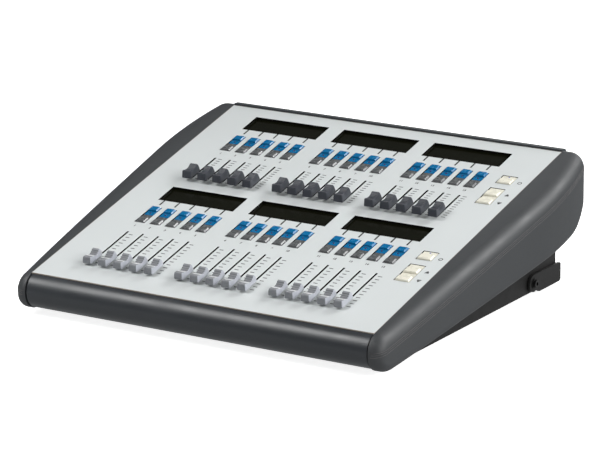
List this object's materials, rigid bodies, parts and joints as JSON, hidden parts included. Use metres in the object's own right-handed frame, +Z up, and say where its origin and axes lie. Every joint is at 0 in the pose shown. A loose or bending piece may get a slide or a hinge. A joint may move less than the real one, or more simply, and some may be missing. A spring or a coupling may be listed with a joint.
{
  "type": "lighting control desk",
  "caption": "Sloping lighting control desk with two banks of faders, blue and grey keys, display windows, moulded side cheeks and a folding tilt leg.",
  "frame": {"origin": "centre of the desk's box in plan, on the table under its rubber feet", "axes": "+X to the operator's right, +Y away from the operator, +Z up; the panel rises to the rear at 14 degrees"},
  "size_m": [0.5078, 0.4251, 0.1498],
  "materials": {
    "panel_paint": "fine satin powder coat, pale grey",
    "rail_finish": "satin anodised slate grey",
    "cheek_plastic": "finely textured moulding, slate grey",
    "chassis_black": "satin black powder coat",
    "window_black": "dark tinted display window",
    "display_black": "dark display module",
    "fader_steel": "plain",
    "switch_black": "moulded",
    "circuit_green": "solder mask",
    "supply_case": "folded sheet",
    "socket_black": "moulded",
    "socket_steel": "plain",
    "ribbon_grey": "flat cable",
    "standoff_brass": "turned",
    "screw_black": "blackened steel",
    "foot_rubber": "matte",
    "leg_black": "satin black powder coat",
    "rocker_black": "moulded",
    "key_blue": "satin moulded cap",
    "key_grey": "satin moulded cap",
    "key_cream": "satin moulded cap",
    "cap_dark": "satin moulded cap",
    "cap_light": "satin moulded cap"
  },
  "bodies": {
    "desk": {"top_panel": "panel_paint", "front_rail": "rail_finish", "rear_trim": "rail_finish", "base_tray": "chassis_black", "rear_panel": "chassis_black", "left_cheek": "cheek_plastic", "right_cheek": "cheek_plastic", "display_windows": "window_black", "display_modules": "display_black", "fader_housings": "fader_steel", "key_switches": "switch_black", "upper_control_board": "circuit_green", "lower_control_board": "circuit_green", "processor_board": "circuit_green", "power_supply": "supply_case", "power_inlet": "socket_black", "usb_socket": "socket_steel", "ribbon_cables": "ribbon_grey", "board_standoffs": "standoff_brass", "case_screws": "screw_black", "rubber_feet": "foot_rubber", "pivot_bolts": "screw_black"},
    "tilt_leg": {"tilt_leg": "leg_black"},
    "power_rocker": {"power_rocker": "rocker_black"},
    "upper_blue_keys": {"upper_blue_keys": "key_blue"},
    "upper_grey_keys": {"upper_grey_keys": "key_grey"},
    "lower_blue_keys": {"lower_blue_keys": "key_blue"},
    "lower_grey_keys": {"lower_grey_keys": "key_grey"},
    "upper_page_keys": {"upper_page_keys": "key_cream"},
    "lower_page_keys": {"lower_page_keys": "key_cream"},
    "upper_fader_01": {"upper_fader_01": "cap_dark"},
    "upper_fader_02": {"upper_fader_02": "cap_dark"},
    "upper_fader_03": {"upper_fader_03": "cap_dark"},
    "upper_fader_04": {"upper_fader_04": "cap_dark"},
    "upper_fader_05": {"upper_fader_05": "cap_dark"},
    "upper_fader_06": {"upper_fader_06": "cap_dark"},
    "upper_fader_07": {"upper_fader_07": "cap_dark"},
    "upper_fader_08": {"upper_fader_08": "cap_dark"},
    "upper_fader_09": {"upper_fader_09": "cap_dark"},
    "upper_fader_10": {"upper_fader_10": "cap_dark"},
    "upper_fader_11": {"upper_fader_11": "cap_dark"},
    "upper_fader_12": {"upper_fader_12": "cap_dark"},
    "upper_fader_13": {"upper_fader_13": "cap_dark"},
    "upper_fader_14": {"upper_fader_14": "cap_dark"},
    "upper_fader_15": {"upper_fader_15": "cap_dark"},
    "lower_fader_01": {"lower_fader_01": "cap_light"},
    "lower_fader_02": {"lower_fader_02": "cap_light"},
    "lower_fader_03": {"lower_fader_03": "cap_light"},
    "lower_fader_04": {"lower_fader_04": "cap_light"},
    "lower_fader_05": {"lower_fader_05": "cap_light"},
    "lower_fader_06": {"lower_fader_06": "cap_light"},
    "lower_fader_07": {"lower_fader_07": "cap_light"},
    "lower_fader_08": {"lower_fader_08": "cap_light"},
    "lower_fader_09": {"lower_fader_09": "cap_light"},
    "lower_fader_10": {"lower_fader_10": "cap_light"},
    "lower_fader_11": {"lower_fader_11": "cap_light"},
    "lower_fader_12": {"lower_fader_12": "cap_light"},
    "lower_fader_13": {"lower_fader_13": "cap_light"},
    "lower_fader_14": {"lower_fader_14": "cap_light"},
    "lower_fader_15": {"lower_fader_15": "cap_light"}
  },
  "joints": [
    {"name": "tilt_leg_fold", "type": "hinge", "parent": "desk", "child": "tilt_leg", "pos_m": [0, 0.13275, 0.015], "axis": [-1, 0, 0], "range_deg": [0, 95]},
    {"name": "power_rocker_tilt", "type": "hinge", "parent": "desk", "child": "power_rocker", "pos_m": [-0.12, 0.18525, 0.078], "axis": [-1, 0, 0], "range_deg": [0, 16]},
    {"name": "upper_blue_keys_press", "type": "slide", "parent": "desk", "child": "upper_blue_keys", "axis": [0, 0.2419, -0.9703], "range_m": [0, 0.0015]},
    {"name": "upper_grey_keys_press", "type": "slide", "parent": "desk", "child": "upper_grey_keys", "axis": [0, 0.2419, -0.9703], "range_m": [0, 0.0015]},
    {"name": "lower_blue_keys_press", "type": "slide", "parent": "desk", "child": "lower_blue_keys", "axis": [0, 0.2419, -0.9703], "range_m": [0, 0.0015]},
    {"name": "lower_grey_keys_press", "type": "slide", "parent": "desk", "child": "lower_grey_keys", "axis": [0, 0.2419, -0.9703], "range_m": [0, 0.0015]},
    {"name": "upper_page_keys_press", "type": "slide", "parent": "desk", "child": "upper_page_keys", "axis": [0, 0.2419, -0.9703], "range_m": [0, 0.0015]},
    {"name": "lower_page_keys_press", "type": "slide", "parent": "desk", "child": "lower_page_keys", "axis": [0, 0.2419, -0.9703], "range_m": [0, 0.0015]},
    {"name": "upper_fader_01_slide", "type": "slide", "parent": "desk", "child": "upper_fader_01", "axis": [0, 0.9703, 0.2419], "range_m": [0, 0.048]},
    {"name": "lower_fader_01_slide", "type": "slide", "parent": "desk", "child": "lower_fader_01", "axis": [0, 0.9703, 0.2419], "range_m": [0, 0.064]},
    {"name": "upper_fader_05_slide", "type": "slide", "parent": "desk", "child": "upper_fader_05", "axis": [0, 0.9703, 0.2419], "range_m": [0, 0.048]},
    {"name": "lower_fader_05_slide", "type": "slide", "parent": "desk", "child": "lower_fader_05", "axis": [0, 0.9703, 0.2419], "range_m": [0, 0.064]},
    {"name": "upper_fader_08_slide", "type": "slide", "parent": "desk", "child": "upper_fader_08", "axis": [0, 0.9703, 0.2419], "range_m": [0, 0.048]},
    {"name": "lower_fader_08_slide", "type": "slide", "parent": "desk", "child": "lower_fader_08", "axis": [0, 0.9703, 0.2419], "range_m": [0, 0.064]},
    {"name": "upper_fader_11_slide", "type": "slide", "parent": "desk", "child": "upper_fader_11", "axis": [0, 0.9703, 0.2419], "range_m": [0, 0.048]},
    {"name": "lower_fader_11_slide", "type": "slide", "parent": "desk", "child": "lower_fader_11", "axis": [0, 0.9703, 0.2419], "range_m": [0, 0.064]},
    {"name": "upper_fader_15_slide", "type": "slide", "parent": "desk", "child": "upper_fader_15", "axis": [0, 0.9703, 0.2419], "range_m": [0, 0.048]},
    {"name": "lower_fader_15_slide", "type": "slide", "parent": "desk", "child": "lower_fader_15", "axis": [0, 0.9703, 0.2419], "range_m": [0, 0.064]},
    {"name": "upper_fader_02_slide", "type": "slide", "parent": "desk", "child": "upper_fader_02", "axis": [0, 0.9703, 0.2419], "range_m": [0, 0.048]},
    {"name": "lower_fader_02_slide", "type": "slide", "parent": "desk", "child": "lower_fader_02", "axis": [0, 0.9703, 0.2419], "range_m": [0, 0.064]},
    {"name": "upper_fader_03_slide", "type": "slide", "parent": "desk", "child": "upper_fader_03", "axis": [0, 0.9703, 0.2419], "range_m": [0, 0.048]},
    {"name": "lower_fader_03_slide", "type": "slide", "parent": "desk", "child": "lower_fader_03", "axis": [0, 0.9703, 0.2419], "range_m": [0, 0.064]},
    {"name": "upper_fader_04_slide", "type": "slide", "parent": "desk", "child": "upper_fader_04", "axis": [0, 0.9703, 0.2419], "range_m": [0, 0.048]},
    {"name": "lower_fader_04_slide", "type": "slide", "parent": "desk", "child": "lower_fader_04", "axis": [0, 0.9703, 0.2419], "range_m": [0, 0.064]},
    {"name": "upper_fader_06_slide", "type": "slide", "parent": "desk", "child": "upper_fader_06", "axis": [0, 0.9703, 0.2419], "range_m": [0, 0.048]},
    {"name": "lower_fader_06_slide", "type": "slide", "parent": "desk", "child": "lower_fader_06", "axis": [0, 0.9703, 0.2419], "range_m": [0, 0.064]},
    {"name": "upper_fader_07_slide", "type": "slide", "parent": "desk", "child": "upper_fader_07", "axis": [0, 0.9703, 0.2419], "range_m": [0, 0.048]},
    {"name": "lower_fader_07_slide", "type": "slide", "parent": "desk", "child": "lower_fader_07", "axis": [0, 0.9703, 0.2419], "range_m": [0, 0.064]},
    {"name": "upper_fader_09_slide", "type": "slide", "parent": "desk", "child": "upper_fader_09", "axis": [0, 0.9703, 0.2419], "range_m": [0, 0.048]},
    {"name": "lower_fader_09_slide", "type": "slide", "parent": "desk", "child": "lower_fader_09", "axis": [0, 0.9703, 0.2419], "range_m": [0, 0.064]},
    {"name": "upper_fader_10_slide", "type": "slide", "parent": "desk", "child": "upper_fader_10", "axis": [0, 0.9703, 0.2419], "range_m": [0, 0.048]},
    {"name": "lower_fader_10_slide", "type": "slide", "parent": "desk", "child": "lower_fader_10", "axis": [0, 0.9703, 0.2419], "range_m": [0, 0.064]},
    {"name": "upper_fader_12_slide", "type": "slide", "parent": "desk", "child": "upper_fader_12", "axis": [0, 0.9703, 0.2419], "range_m": [0, 0.048]},
    {"name": "lower_fader_12_slide", "type": "slide", "parent": "desk", "child": "lower_fader_12", "axis": [0, 0.9703, 0.2419], "range_m": [0, 0.064]},
    {"name": "upper_fader_13_slide", "type": "slide", "parent": "desk", "child": "upper_fader_13", "axis": [0, 0.9703, 0.2419], "range_m": [0, 0.048]},
    {"name": "lower_fader_13_slide", "type": "slide", "parent": "desk", "child": "lower_fader_13", "axis": [0, 0.9703, 0.2419], "range_m": [0, 0.064]},
    {"name": "upper_fader_14_slide", "type": "slide", "parent": "desk", "child": "upper_fader_14", "axis": [0, 0.9703, 0.2419], "range_m": [0, 0.048]},
    {"name": "lower_fader_14_slide", "type": "slide", "parent": "desk", "child": "lower_fader_14", "axis": [0, 0.9703, 0.2419], "range_m": [0, 0.064]}
  ]
}
